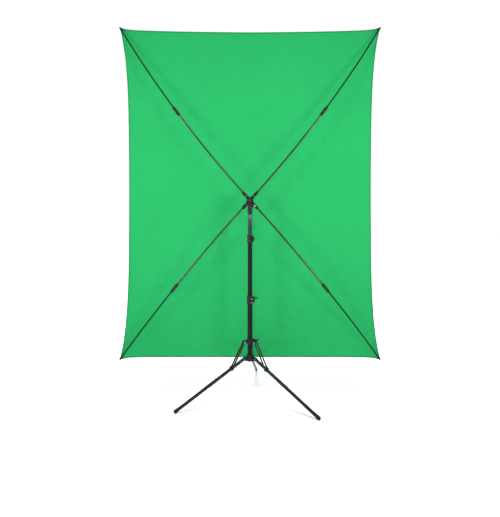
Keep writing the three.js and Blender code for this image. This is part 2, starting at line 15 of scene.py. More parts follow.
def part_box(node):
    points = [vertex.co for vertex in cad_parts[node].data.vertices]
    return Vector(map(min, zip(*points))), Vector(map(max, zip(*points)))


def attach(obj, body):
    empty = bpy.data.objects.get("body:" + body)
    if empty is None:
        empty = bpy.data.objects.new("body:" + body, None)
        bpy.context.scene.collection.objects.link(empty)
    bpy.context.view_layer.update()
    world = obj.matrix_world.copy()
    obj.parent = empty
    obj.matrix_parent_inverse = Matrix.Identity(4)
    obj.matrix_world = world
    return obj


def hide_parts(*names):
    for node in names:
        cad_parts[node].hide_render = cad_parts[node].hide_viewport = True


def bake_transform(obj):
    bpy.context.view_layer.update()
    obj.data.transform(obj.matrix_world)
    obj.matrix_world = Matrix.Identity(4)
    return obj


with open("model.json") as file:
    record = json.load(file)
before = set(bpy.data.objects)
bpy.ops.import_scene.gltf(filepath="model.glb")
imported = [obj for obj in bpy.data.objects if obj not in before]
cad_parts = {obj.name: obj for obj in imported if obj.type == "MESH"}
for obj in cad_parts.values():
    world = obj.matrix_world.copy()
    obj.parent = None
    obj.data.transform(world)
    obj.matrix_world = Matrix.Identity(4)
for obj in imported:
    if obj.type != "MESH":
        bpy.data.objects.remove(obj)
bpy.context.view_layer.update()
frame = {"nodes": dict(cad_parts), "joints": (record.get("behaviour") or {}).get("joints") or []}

MM = 0.001
JOINTS = {joint["name"]: joint for joint in frame["joints"]}
DRAWN = (1, 1, 14)  # stretch of a pattern along a drawn tube


def middle(node):
    low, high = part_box(node)
    return (low + high) / 2


def hinge(joint):
    """(a point on a joint's axis, the axis's direction)."""
    return Vector(JOINTS[joint]["pos_m"]), Vector(JOINTS[joint]["axis"]).normalized()


HUB = middle("cross_hub")  # where the four arms' lines meet
POLE = middle("lower_tube").xy  # the pole's axis


# ---- Materials -------------------------------------------------------------------------------------


class Look:
    """A Principled material and the nodes that vary it. Lengths in a pattern are in millimetres."""

    def __init__(self, name, coordinates="UV", **sockets):
        self.material = bpy.data.materials.new(name)
        self.material.use_nodes = True
        self.tree = self.material.node_tree
        self.shader = self.tree.nodes["Principled BSDF"]
        for socket, value in sockets.items():
            self.set(socket.replace("_", " "), value)
        self.coordinates = self.node("ShaderNodeTexCoord").outputs[coordinates]

    def set(self, socket, value):
        """Sets a shader socket to a plain value, or links a node's output to it."""
        target = self.shader.inputs[socket]
        if isinstance(value, bpy.types.NodeSocket):
            self.tree.links.new(value, target)
        elif hasattr(value, "__len__"):
            target.default_value = (*value, 1.0)
        else:
            target.default_value = value

    def node(self, kind, inputs=(), **settings):
        made = self.tree.nodes.new(kind)
        for name, value in settings.items():
            setattr(made, name, value)
        for socket, value in dict(inputs).items():
            if isinstance(value, bpy.types.NodeSocket):
                self.tree.links.new(value, made.inputs[socket])
            else:
                made.inputs[socket].default_value = value
        return made

    def noise(self, size, detail, stretch=(1, 1, 1), seed=0.0):
        """Noise from 0 to 1 whose grains are size mm across, stretched by the given factors."""
        scale = [1 / (size * MM * s) for s in stretch]
        mapping = self.node(
            "ShaderNodeMapping",
            {"Vector": self.coordinates, "Scale": scale, "Location": (seed, seed, seed)},
        )
        inputs = {"Vector": mapping.outputs[0], "Scale": 1.0, "Detail": detail}
        return self.node("ShaderNodeTexNoise", inputs).outputs[0]

    def spread(self, value, low, high, start=0.3, end=0.7):
        """A value from start to end mapped onto low to high, clamped."""
        inputs = {"Value": value, "From Min": start, "From Max": end, "To Min": low, "To Max": high}
        return self.node("ShaderNodeMapRange", inputs).outputs[0]

    def maths(self, operation, a, b):
        return self.node("ShaderNodeMath", {0: a, 1: b}, operation=operation).outputs[0]

    def blend(self, share, a, b):
        """Colour a turning into colour b; either is a colour or a node's output."""
        made = self.node("ShaderNodeMix", {"Factor": share}, data_type="RGBA")
        for socket, colour in ((6, a), (7, b)):
            if isinstance(colour, bpy.types.NodeSocket):
                self.tree.links.new(colour, made.inputs[socket])
            else:
                made.inputs[socket].default_value = (*colour, 1.0)
        return made.outputs[2]

    def raise_by(self, height, millimetres):
        """Adds a height pattern to the surface's bump."""
        inputs = {"Height": height, "Strength": 1.0, "Distance": millimetres * MM}
        last = self.shader.inputs["Normal"]
        if last.is_linked:
            inputs["Normal"] = last.links[0].from_socket
        self.set("Normal", self.node("ShaderNodeBump", inputs).outputs[0])

    def worn(self, amount, seed=0.0):
        """Share of the finish that is rubbed. With uv: broken patches along the convex edges, which the
        edge attribute marks. With other coordinates: a few faint small patches on pointed places."""
        if self.coordinates.name == "UV":
            patches = self.spread(self.noise(4, 5, seed=seed), 0, 1, 0.42, 0.62)
            edge = self.node("ShaderNodeAttribute", attribute_name="edge").outputs["Fac"]
            return self.maths("MULTIPLY", self.maths("MULTIPLY", patches, edge), amount)
        pointiness = self.spread(self.node("ShaderNodeNewGeometry").outputs["Pointiness"], 0, 1, 0.53, 0.62)
        patches = self.spread(self.noise(2.5, 6, seed=seed), 0, 0.3, 0.6, 0.72)
        return self.maths("MULTIPLY", self.maths("MULTIPLY", patches, pointiness), amount)


def paler(colour):
    """The light end of a black finish's uneven tone."""
    return [c * 1.6 + 0.002 for c in colour]


def coated_metal(name, colour, rough=0.3, gloss=0.14):
    """Semi-gloss coating over drawn tube: orange peel, faint draw lines, rubbed edges, handling marks."""
    look = Look(name, IOR=1.5, Specular_IOR_Level=gloss)
    tone = look.spread(look.noise(60, 4, seed=3), 0, 1)
    paint = look.blend(tone, colour, paler(colour))
    scuffs = look.spread(look.noise(3, 6, DRAWN, seed=8), 0, 0.5, 0.7, 0.8)
    marked = look.blend(scuffs, paint, (0.03, 0.03, 0.032))
    look.set("Base Color", look.blend(look.worn(0.4), marked, (0.3, 0.3, 0.31)))
    look.set("Roughness", look.spread(look.noise(9, 4, DRAWN, seed=5), rough - 0.06, rough + 0.12))
    look.raise_by(look.noise(1.6, 2, seed=1), 0.035)
    look.raise_by(look.noise(0.7, 2, DRAWN, seed=2), 0.02)
    return look.material


def polished_coating(name, colour):
    """High-gloss black on the tube that the others hide: fine draw lines, blotches, a few scratches."""
    look = Look(name, IOR=1.6, Specular_IOR_Level=0.5)
    blotches = look.spread(look.noise(35, 4, seed=51), 0, 1)
    base = look.blend(blotches, colour, [c * 1.5 for c in colour])
    scratches = look.spread(look.noise(1.2, 5, (1, 6, 1), seed=52), 0, 0.4, 0.7, 0.8)
    marked = look.blend(scratches, base, (0.1, 0.1, 0.1))
    look.set("Base Color", look.blend(look.worn(0.5, 3), marked, (0.4, 0.4, 0.4)))
    look.set("Roughness", look.spread(look.noise(8, 4, DRAWN, seed=53), 0.09, 0.17))
    look.raise_by(look.noise(0.6, 2, DRAWN, seed=54), 0.012)
    return look.material


def bright_metal(name, colour, coordinates="UV", rough=0.24):
    """Plated steel with turning marks, dull patches and small pits."""
    look = Look(name, coordinates, Metallic=1.0, Anisotropic=0.35)
    stains = look.spread(look.noise(7, 5, seed=4), 0, 0.7, 0.45, 0.75)
    look.set("Base Color", look.blend(stains, colour, [c * 0.62 for c in colour]))
    look.set("Roughness", look.spread(look.noise(2.5, 4, seed=6), rough - 0.05, rough + 0.16))
    look.raise_by(look.noise(0.25, 2, (14, 1, 1), seed=9), 0.02)
    look.raise_by(look.spread(look.noise(1.1, 3, seed=7), 0, -1, 0.68, 0.76), 0.03)
    return look.material


def moulded_plastic(name, colour, coordinates="UV", rough=0.42):
    """Glass-filled nylon: fine spark-eroded grain, flow marks, whitened edges."""
    look = Look(name, coordinates, IOR=1.5, Specular_IOR_Level=0.26)
    flow = look.spread(look.noise(14, 5, (1, 1, 3), seed=12), 0, 1)
    base = look.blend(flow, colour, paler(colour))
    look.set("Base Color", look.blend(look.worn(0.35, 5), base, (0.11, 0.11, 0.115)))
    look.set("Roughness", look.spread(look.noise(5, 4, seed=15), rough - 0.08, rough + 0.14))
    look.raise_by(look.noise(0.55, 3, seed=11), 0.05)
    look.raise_by(look.noise(6, 2, seed=13), 0.05)
    return look.material


def dull_rubber(name, colour):
    """Moulded rubber: matt, dusty, with a pebbled skin and scuffed edges."""
    look = Look(name, "Object", IOR=1.45, Specular_IOR_Level=0.35)
    dust = look.spread(look.noise(11, 6, seed=21), 0, 0.3, 0.45, 0.75)
    base = look.blend(dust, colour, (0.075, 0.072, 0.068))
    look.set("Base Color", look.blend(look.worn(0.5, 9), base, (0.13, 0.125, 0.12)))
    look.set("Roughness", look.spread(look.noise(3, 4, seed=23), 0.62, 0.88))
    cells = look.node("ShaderNodeTexVoronoi", {"Vector": look.coordinates, "Scale": 1 / (1.3 * MM)})
    look.raise_by(cells.outputs["Distance"], 0.09)
    look.raise_by(look.noise(0.5, 3, seed=22), 0.04)
    return look.material


def woven_cloth(name, colour, thread=0.9, paint_hem_shade=True):
    """Plain-woven polyester: over-and-under threads with painted shade in the gaps between them, slubs, dye
    variation, creases, and stitched hems with painted shade along them.
    """
    look = Look(name, "UV", IOR=1.4, Specular_IOR_Level=0.12)
    look.set("Sheen Weight", 0.08)
    look.set("Sheen Roughness", 0.45)
    look.set("Sheen Tint", [min(1.0, c * 1.4 + 0.3) for c in colour])
    waves = 1 / (thread * MM) / 20 * math.pi  # the texture's scale for one wave a thread
    across, up = (
        look.node(
            "ShaderNodeTexWave",
            {"Vector": look.coordinates, "Scale": waves, "Distortion": 0.25},
            bands_direction=direction,
        ).outputs["Fac"]
        for direction in "XY"
    )
    weave = look.maths("MULTIPLY", across, up)
    slub = look.noise(5, 3, (12, 0.35, 1), seed=31)
    dye = look.noise(420, 3, seed=33)
    fold = look.noise(95, 4, (0.5, 2.6, 1), seed=35)
    dark, light = [c * 0.95 for c in colour], [min(1, c * 1.04) for c in colour]
    dyed = look.blend(look.spread(dye, 0, 1), dark, light)
    threads = look.blend(look.spread(slub, 0, 0.45), dyed, light)
    # painted shade: where the weave is low, in the gaps between threads, the colour is darkened towards 0.6 of
    # itself
    shaded_weave = look.blend(look.spread(weave, 0.22, 0, 0.0, 0.6), threads, [c * 0.6 for c in colour])
    # painted shade along the hem: the folded band is darkened, most of all on its stitch line
    if paint_hem_shade:
        hem_shade_mask = look.node("ShaderNodeAttribute", attribute_name="hem").outputs["Fac"]
        shaded_weave = look.blend(look.maths("MULTIPLY", hem_shade_mask, 0.62), shaded_weave, [c * 0.34 for c in colour])
    look.set("Base Color", shaded_weave)
    look.set("Roughness", look.spread(slub, 0.74, 0.92))
    look.raise_by(weave, 0.06)
    look.raise_by(slub, 0.03)
    look.raise_by(fold, 1.1)
    return look.material


def finish_table():
    """The finishes by name; those that end in _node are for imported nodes, which have no flat coordinates."""
    black, soot = (0.0045, 0.0047, 0.005), (0.006, 0.006, 0.0065)
    return {
        "tube": coated_metal("tube_coating", black, rough=0.24),
        "polished": polished_coating("tube_polished", soot),
        # painted reflection: the near-black of the rods and the arm tubes is tinted dark green, standing for
        # the green cloth reflected in them
        "rod": coated_metal("rod_coating_painted_reflection", (0.0025, 0.005, 0.0035), rough=0.34),
        "arm": coated_metal("arm_coating_painted_reflection", (0.007, 0.014, 0.0095), rough=0.18, gloss=0.75),
        "leg": coated_metal("leg_coating", soot, gloss=0.3),
        "plastic": moulded_plastic("nylon_black", soot),
        "plastic_node": moulded_plastic("nylon_black_node", soot, "Object"),
        "knob_node": moulded_plastic("knob_nylon", (0.008, 0.008, 0.0085), "Object", 0.36),
        "band": moulded_plastic("band_grey", (0.14, 0.135, 0.13), rough=0.36),
        "ring": moulded_plastic("lock_ring_umber", (0.05, 0.045, 0.042), rough=0.38),
        "steel": bright_metal("steel_plated", (0.62, 0.61, 0.6)),
        "dark_steel": bright_metal("steel_browned", (0.11, 0.1, 0.1), rough=0.3),
        "dark_steel_node": bright_metal("steel_browned_node", (0.11, 0.095, 0.1), "Object", 0.3),
        "steel_node": bright_metal("steel_plated_node", (0.6, 0.6, 0.6), "Object"),
        "rubber": dull_rubber("rubber_foot", (0.007, 0.007, 0.007)),
        "cloth": woven_cloth("cloth_green", (0.0205, 0.425, 0.122)),
        "webbing": woven_cloth("webbing_black", (0.012, 0.03, 0.018), 1.3, paint_hem_shade=False),
    }


LOOKS = finish_table()


# ---- Mesh helpers ----------------------------------------------------------------------------------


def object_of(name, vertices, faces, look, flat):
    """A new object with sharp creases, its convex edges marked, and each vertex's flat place as its uv."""
    mesh = bpy.data.meshes.new(name)
    mesh.from_pydata([tuple(v) for v in vertices], [], faces)
    layer = mesh.uv_layers.new(name="flat")
    loops = np.zeros(len(mesh.loops), np.int32)
    mesh.loops.foreach_get("vertex_index", loops)
    layer.data.foreach_set("uv", np.asarray(flat, np.float32)[loops].ravel())
    work = bmesh.new()
    work.from_mesh(mesh)
    bmesh.ops.recalc_face_normals(work, faces=work.faces)
    convex = [
        max((e.calc_face_angle_signed(0.0) for e in v.link_edges if len(e.link_faces) == 2), default=0.0)
        for v in work.verts
    ]
    work.to_mesh(mesh)
    work.free()
    mark = mesh.attributes.new("edge", "FLOAT", "POINT")
    mark.data.foreach_set("value", [min(1.0, max(0.0, (a - 0.4) / 0.5)) for a in convex])
    mesh.shade_smooth()
    mesh.set_sharp_from_angle(angle=math.radians(38))
    mesh.materials.append(LOOKS[look])
    made = bpy.data.objects.new(name, mesh)
    bpy.context.scene.collection.objects.link(made)
    return made


def skinned(name, rings, look, flat, loop=False):
    """A skin over rings of points. A loop joins the last ring to the first; if not, the ends are capped."""
    count = len(rings[0])
    vertices, flat = [p for ring in rings for p in ring], list(flat)
    faces = []
    for k in range(len(rings) if loop else len(rings) - 1):
        a, b = k * count, (k + 1) % len(rings) * count
        for j in range(count):
            n = (j + 1) % count
            faces.append((a + j, a + n, b + n, b + j))
    if not loop:
        for start in (0, (len(rings) - 1) * count):
            vertices.append(sum((Vector(v) for v in vertices[start : start + count]), Vector()) / count)
            flat.append(flat[start])
            faces += [(start + j, start + (j + 1) % count, len(vertices) - 1) for j in range(count)]
    return object_of(name, vertices, faces, look, flat)


def softened(profile, radius, loop=False):
    """A profile whose corners are rounded, each by at most 40% of the shorter side next to it."""
    steps = 3
    points = [Vector(p) for p in profile]
    rounded = []
    for k, here in enumerate(points):
        if not loop and k in (0, len(points) - 1):
            rounded.append(here)
            continue
        before, after = points[k - 1] - here, points[(k + 1) % len(points)] - here
        if before.length < 1e-9 or after.length < 1e-9 or before.angle(after) > math.radians(168):
            rounded.append(here)
            continue
        cut = min(radius, 0.4 * before.length, 0.4 * after.length)
        start, end = here + before.normalized() * cut, here + after.normalized() * cut
        for step in range(steps + 1):
            t = step / steps
            rounded.append(start * (1 - t) ** 2 + here * (2 * t * (1 - t)) + end * t * t)
    return rounded


def divided(profile, longest, loop=False):
    """A profile with its long stretches cut into equal steps."""
    points = [Vector(p) for p in profile]
    pairs = list(zip(points, points[1:] + points[:1]))
    cut = []
    for a, b in pairs if loop else pairs[:-1]:
        steps = max(1, math.ceil((b - a).length / longest))
        cut += [a.lerp(b, k / steps) for k in range(steps)]
    return cut if loop else cut + [points[-1]]


def turned(name, place, profile, look, sides=48, round_by=0.4, loop=False, longest=30.0, ripple=None):
    """A round piece: its profile is (distance along, radius) in mm, and place(distance) the axis there.
    ripple(distance, angle), where given, scales the radius."""
    outline = divided(softened(profile, round_by, loop), longest, loop)
    angles = [2 * math.pi * k / sides for k in range(sides)]
    rings, flat = [], []
    for along, radius in outline:
        at = place(along * MM)
        radius = max(radius, 0.02)  # no ring closes to a point
        ring = []
        for a in angles:
            r = radius * MM * (ripple(along, a) if ripple else 1.0)
            ring.append(at @ Vector((r * math.cos(a), r * math.sin(a), 0)))
            flat.append((a * radius * MM, along * MM))
        rings.append(ring)
    return skinned(name, rings, look, flat, loop)


def upright(x, y):
    """The vertical axis through (x, y), by height."""
    return lambda z: Matrix.Translation((x, y, z))


def pointing(origin, direction):
    """The axis that leaves a point in a direction, by distance from the point."""
    turn = Vector(direction).to_track_quat("Z", "Y").to_matrix().to_4x4()
    return lambda d: Matrix.Translation(Vector(origin) + Vector(direction).normalized() * d) @ turn


def stand_for(made, body, slot_name, *nodes):
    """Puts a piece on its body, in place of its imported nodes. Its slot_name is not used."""
    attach(made, body)
    if nodes:
        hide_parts(*nodes)


def top_of(node):
    """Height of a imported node's upper end, in mm."""
    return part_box(node)[1].z / MM


def bottom_of(node):
    """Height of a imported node's lower end, in mm."""
    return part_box(node)[0].z / MM


def radius_of(node):
    """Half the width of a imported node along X, in mm."""
    low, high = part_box(node)
    return (high.x - low.x) / 2 / MM


# ---- Pole ------------------------------------------------------------------------------------------


def make_pole():
    """Three tubes with rolled ends, and the turned stud on top."""
    wall = 1.1
    bodies = {"lower": "stand_base", "mid": "mid_section", "top": "top_section"}
    looks = {"lower": "tube", "mid": "tube", "top": "polished"}
    for section, body in bodies.items():
        node = f"{section}_tube"
        outer, low, high = radius_of(node), bottom_of(node), top_of(node)
        profile = [(low, outer), (high, outer), (high, outer - wall), (low, outer - wall)]
        name, look = f"{section}_tube_drawn", looks[section]
        tube = turned(name, upright(*POLE), profile, look, 72, 0.5, loop=True, longest=24)
        stand_for(tube, body, "tube_black", node)
    low, high = bottom_of("stud"), top_of("stud")
    seat, flange, plug, radius = low + 25, radius_of("stud"), 10.15, 8.0
    grooves = [(high - 22, radius), (high - 19, radius - 1.6), (high - 12, radius - 1.6), (high - 9, radius)]
    profile = [(low, 0), (low, plug), (seat, plug), (seat, flange), (seat + 5, flange), (seat + 5, radius)]
    profile += grooves + [(high - 1.5, radius), (high, radius - 1.5), (high, 0)]
    stud = turned("stud_turned", upright(*POLE), profile, "tube", 64, 0.5)
    stand_for(stud, "top_section", "tube_black", "stud")


# ---- Arms ------------------------------------------------------------------------------------------


class Arm:
    """An arm's circular arc, by distance from the hub's centre."""

    def __init__(self, number):
        slide = JOINTS[f"rod_{number}_telescope"]
        self.number = number
        self.centre = Vector(slide["pos_m"])
        reach = self.centre - HUB
        self.radius = reach.length
        self.inward = reach.normalized()
        self.start = self.inward.cross(Vector(slide["axis"])).normalized()
        if (middle(f"outer_rod_{number}") - HUB).dot(self.start) < 0:
            self.start.negate()
        self.side = self.start.cross(self.inward)

    def place(self, distance):
        """The arm's frame at a distance from the hub's centre: z along the arm, y square to its arc."""
        a = distance / self.radius
        along = self.start * math.cos(a) + self.inward * math.sin(a)
        out = self.side.cross(along)
        at = self.centre + (self.start * math.sin(a) - self.inward * math.cos(a)) * self.radius
        turn = Matrix((out, self.side, along)).transposed().to_4x4()
        turn.translation = at
        return turn

    def span(self, node):
        """(nearest, furthest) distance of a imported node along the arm, in mm."""
        found = []
        for v in frame["nodes"][node].data.vertices:
            out = v.co - self.centre
            angle = math.atan2(out.dot(self.start), -out.dot(self.inward))
            found.append(angle * self.radius / MM)
        return min(found), max(found)


def fluted(start, end, count, depth):
    """A ripple of shallow flutes between two distances along a piece; depth is a share of its radius."""

    def scale(along, angle):
        if not start < along < end:
            return 1.0
        fade = min(1.0, (along - start) / 2, (end - along) / 2)
        return 1.0 - depth * fade * (0.5 - 0.5 * math.cos(count * angle))

    return scale


def make_arm(number):
    """An arm from the hub out: socket, tube, twist lock, rod, tip and hood. A profile's points are
    (distance, radius) in mm."""
    arm = Arm(number)

    def part(kind, profile, look, body, slot_name, *nodes, **more):
        made = turned(f"arm_{number}_{kind}", arm.place, profile, look, **more)
        stand_for(made, body, slot_name, *nodes)

    root, rod = "x_frame", f"arm_rod_{number}"
    s, end = arm.span(f"arm_socket_{number}")
    socket = [(0, 9), (2, 10), (16, 10), (17.5, 8.6), (20, 8.6), (21.5, 10), (31, 10), (32.5, 8.8)]
    socket += [(36, 8.8), (37, 9.6), (end - s, 8), (end - s, 6.1), (10.65, 6.1), (10.65, 0)]
    profile = [(s, 0)] + [(s + d, r) for d, r in socket]
    ribs = fluted(s + 22, s + 31, 24, 0.05)
    part("socket", profile, "plastic", root, "plastic_black", f"arm_socket_{number}", sides=96, ripple=ribs)
    band = [(s + 17.2, 8.5), (s + 17.2, 9.3), (s + 20.3, 9.3), (s + 20.3, 8.5)]
    part("socket_band", band, "band", root, "bright_metal", loop=True, round_by=0.3)

    s, end = arm.span(f"inner_tube_{number}")
    tube = [(s, 5.4), (end, 5.4), (end, 4.6), (s, 4.6)]
    node = f"inner_tube_{number}"
    part("tube", tube, "arm", root, "arm_tube_black", node, sides=36, loop=True, longest=16)

    s, end = arm.span(f"lock_collar_{number}")
    m = (s + end) / 2
    lock = [(s, 6.1), (s, 7), (m - 19, 9.2), (m - 9, 10), (m - 7, 8.7), (m - 2, 8.7), (m, 10)]
    lock += [(m + 9, 10), (m + 11, 8.8), (m + 17, 9.4), (end, 6), (end, 4.9), (m + 14, 4.9), (m + 13, 6.1)]
    grip = fluted(m - 31, m - 9.5, 18, 0.045)
    body, node = f"lock_{number}", f"lock_collar_{number}"
    part("lock", lock, "plastic", body, "plastic_black", node, sides=108, loop=True, ripple=grip)
    ring = [(m - 7.2, 8.65), (m - 7.2, 9.6), (m - 1.8, 9.6), (m - 1.8, 8.65)]
    part("lock_ring", ring, "ring", body, "plastic_black", loop=True, round_by=0.4)

    s, end = arm.span(f"outer_rod_{number}")
    stick = [(s, 0), (s, 4.2), (end, 4.2), (end, 0)]
    part("rod", stick, "rod", rod, "rod_black", f"outer_rod_{number}", sides=32, longest=16)

    s, end = arm.span(f"rod_tip_{number}")
    tip = [(s, 0), (s, 4.8), (end - 10, 4.8), (end - 8, 3.6), (end - 6, 3.8), (end - 4, 5)]
    tip += [(end - 1, 3.8), (end, 0)]
    part("tip", tip, "plastic", rod, "plastic_black", f"rod_tip_{number}", round_by=1.0)
    hood = [(end - 20, 5.6), (end - 20, 6.3), (end - 4, 6.4), (end + 1, 5.2), (end + 5, 2.2), (end + 6, 0)]
    hood += [(end + 5, 0), (end + 4, 1.8), (end + 0.5, 4.5), (end - 4, 5.6)]
    part("hood", hood, "webbing", rod, "cloth_green", sides=40, loop=True, round_by=0.8)


# ---- Cloth -----------------------------------------------------------------------------------------

CLOTH_LOW, CLOTH_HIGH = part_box("backdrop")
HALF_WIDTH = CLOTH_HIGH.x
HEIGHT = CLOTH_HIGH.z - CLOTH_LOW.z
THICKNESS = CLOTH_HIGH.y - CLOTH_LOW.y
CLOTH_MIDDLE = (CLOTH_HIGH.y + CLOTH_LOW.y) / 2
HEM = 9.0  # mm, width of the turned and stitched edge


def drawn_in(distance, flare=0, flare_reach=1, sweep=0, sweep_reach=1):
    """How far an edge is drawn in at a distance from its nearer corner, both in metres. The short flare
    at the corner and the long sweep, with their reaches, are in millimetres."""
    flared, swept = (1 - np.exp(-distance / (reach * MM)) for reach in (flare_reach, sweep_reach))
    return (flare * flared + sweep * swept) * MM


def on_cloth(u, v):
    """(x, z) on the stretched cloth, for shares u of its width and v of its height."""
    across = np.minimum(u, 1 - u) * 2 * HALF_WIDTH
    up = np.minimum(v, 1 - v) * HEIGHT
    x = (2 * u - 1) * (HALF_WIDTH - drawn_in(up, sweep=59, sweep_reach=220))
    raised = drawn_in(across, flare=16, flare_reach=42)
    lowered = drawn_in(across, flare=14, flare_reach=38, sweep=20, sweep_reach=450)
    lift = (1 - v) * raised - v * lowered
    return x, CLOTH_LOW.z + HEIGHT * v + lift


def grid_lines(length, count):
    """Shares of a side where grid lines run: a close set along each hem, then even steps."""
    close = [d * MM / length for d in (0, 1.2, 4.0, HEM - 1.2, HEM, HEM + 1.5, 16, 28)]
    inner = np.linspace(close[-1], 0.5, count)[1:]
    half = np.array([*close, *inner])
    return np.concatenate([half, 1 - half[-2::-1]])


def cubic_weights(wanted, count):
    """A matrix that samples count + 1 evenly spaced values at the wanted shares, smoothly."""
    weights = np.zeros((len(wanted), count + 1))
    for row, share in enumerate(wanted):
        place = min(share * count, count - 1e-9)
        k = int(place)
        t = place - k
        cubic = (
            (-t + 2 * t * t - t**3) / 2,
            (2 - 5 * t * t + 3 * t**3) / 2,
            (t + 4 * t * t - 3 * t**3) / 2,
            (t**3 - t * t) / 2,
        )
        for step, weight in enumerate(cubic):
            weights[row, min(max(k + step - 1, 0), count)] += weight
    return weights


def corner_signs(number):
    """(side, up) of the cloth's corner that an arm holds, each +1 or -1."""
    return 1 if number in (1, 4) else -1, 1 if number in (1, 2) else -1


def edge_distance(u, v):
    """How far a place on the cloth is from the nearest edge, in metres on the flat cloth."""
    return np.minimum(np.minimum(u, 1 - u) * 2 * HALF_WIDTH, np.minimum(v, 1 - v) * HEIGHT)


def trial_sheet(places, held):
    """A single-layer sheet over a grid of places, with the group of its held points."""
    rows, columns = held.shape
    faces = [
        (r * columns + c, r * columns + c + 1, (r + 1) * columns + c + 1, (r + 1) * columns + c)
        for r in range(rows - 1)
        for c in range(columns - 1)
    ]
    mesh = bpy.data.meshes.new("cloth_trial")
    mesh.from_pydata(places.reshape(-1, 3).tolist(), [], faces)
    trial = bpy.data.objects.new("cloth_trial", mesh)
    bpy.context.scene.collection.objects.link(trial)
    group = trial.vertex_groups.new(name="held")
    group.add(np.flatnonzero(held).tolist(), 1.0, "REPLACE")
    return trial


def stretched_cloth(columns=44, rows=58, frames=32):
    """How the cloth moves from flat when it hangs from its hems: a seeded simulation."""
    u, v = np.meshgrid(np.linspace(0, 1, columns + 1), np.linspace(0, 1, rows + 1))
    x, z = on_cloth(u, v)
    chance = np.random.default_rng(11)
    start = CLOTH_MIDDLE + chance.normal(0, 0.4 * MM, x.shape)  # uneven, so that it can leave its plane
    trial = trial_sheet(np.stack([x, start, z], -1), edge_distance(u, v) < 1e-6)
    modifier = trial.modifiers.new("cloth", "CLOTH")
    cloth = modifier.settings
    cloth.quality = 7
    cloth.mass = 0.13 * 2 * HALF_WIDTH * HEIGHT / x.size  # 0.13 kg a square metre, shared by the points
    cloth.tension_stiffness = cloth.compression_stiffness = 25
    cloth.shear_stiffness = 8
    cloth.bending_stiffness = 0.4
    cloth.air_damping = 2.0
    cloth.shrink_min = -0.0022
    cloth.vertex_group_mass = "held"
    modifier.point_cache.frame_start, modifier.point_cache.frame_end = 1, frames
    scene = bpy.context.scene
    for number in range(1, frames + 1):
        scene.frame_set(number)
    solved = trial.evaluated_get(bpy.context.evaluated_depsgraph_get()).to_mesh()
    ended = np.zeros(len(solved.vertices) * 3)
    solved.vertices.foreach_get("co", ended)
    moved = ended.reshape(rows + 1, columns + 1, 3) - np.stack([x, np.full_like(x, CLOTH_MIDDLE), z], -1)
    scene.frame_set(1)
    bpy.data.objects.remove(trial)
    return moved


def relief(u, v):
    """Small tension pleats that fan out of each corner, in metres along Y."""
    pleat, reach = 1.5 * MM, 0.2
    x, z = on_cloth(u, v)
    height = np.zeros_like(x)
    for side, up, seed in ((1, 1, 0.3), (-1, 1, 1.9), (-1, -1, 4.1), (1, -1, 2.6)):
        corner_z = CLOTH_HIGH.z if up > 0 else CLOTH_LOW.z
        across, down = (side * HALF_WIDTH - x) * side, (corner_z - z) * up
        far = np.hypot(across, down)
        angle = np.arctan2(down, across)
        fan = np.sin(angle * 15 + seed) + 0.6 * np.sin(angle * 23 + 3 * seed)
        height += pleat * fan * np.exp(-far / reach) * np.clip(far / 0.06 - 0.6, 0, 1)
    return height


def cloth_places(us, vs):
    """Places on the middle of the cloth, relaxed and pleated, for grid lines across and up."""
    u, v = np.meshgrid(us, vs)
    x, z = on_cloth(u, v)
    fade = np.clip((edge_distance(u, v) - HEM * MM) / 0.09, 0, 1)  # 0 in the hem, 1 from 90 mm inside it
    fade = fade * fade * (3 - 2 * fade)
    y = relief(u, v) * fade
    moved = stretched_cloth()
    rows, columns = moved.shape[0] - 1, moved.shape[1] - 1
    fine = np.einsum("ra,abk,cb->rck", cubic_weights(vs, rows), moved, cubic_weights(us, columns))
    most = np.array([3, 9, 3]) * MM  # what the simulation may move a place by, along X, Y and Z
    fine = most * np.tanh(fine / most) * fade[..., None]
    x, y, z = x + fine[..., 0], y + fine[..., 1], z + fine[..., 2]
    return np.stack([x, y + CLOTH_MIDDLE, z], -1)


def make_cloth():
    """The cloth as four quarters that share their edges."""
    us, vs = grid_lines(2 * HALF_WIDTH, 46), grid_lines(HEIGHT, 60)
    u, v = np.meshgrid(us, vs)
    places = cloth_places(us, vs)
    to_edge = edge_distance(u, v)
    hemmed = to_edge < (HEM - 0.4) * MM
    half = THICKNESS / 2 * np.where(hemmed, 1.0, 0.62)  # the hem is folded over, so it is thicker
    normal = np.cross(np.gradient(places, axis=1), np.gradient(places, axis=0))
    normal /= np.linalg.norm(normal, axis=-1, keepdims=True)
    front, back = places + normal * half[..., None], places - normal * half[..., None]
    stitched = np.abs(to_edge - (HEM - 1.2) * MM) < 0.1 * MM
    # marks is where the hem's painted shade goes: 1 on the stitch line, 0.8 in the rest of the hem
    marks = np.where(stitched, 1.0, np.where(hemmed, 0.8, 0.0))
    left, right = slice(0, len(us) // 2 + 1), slice(len(us) // 2, None)
    lower, upper = slice(0, len(vs) // 2 + 1), slice(len(vs) // 2, None)
    quarters = {1: (upper, right), 2: (upper, left), 3: (lower, left), 4: (lower, right)}
    for number, part in quarters.items():
        patch = make_patch(number)
        made = quarter(number, front[part], back[part], normal[part], u[part], v[part], marks[part])
        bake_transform(made)
        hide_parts("backdrop")


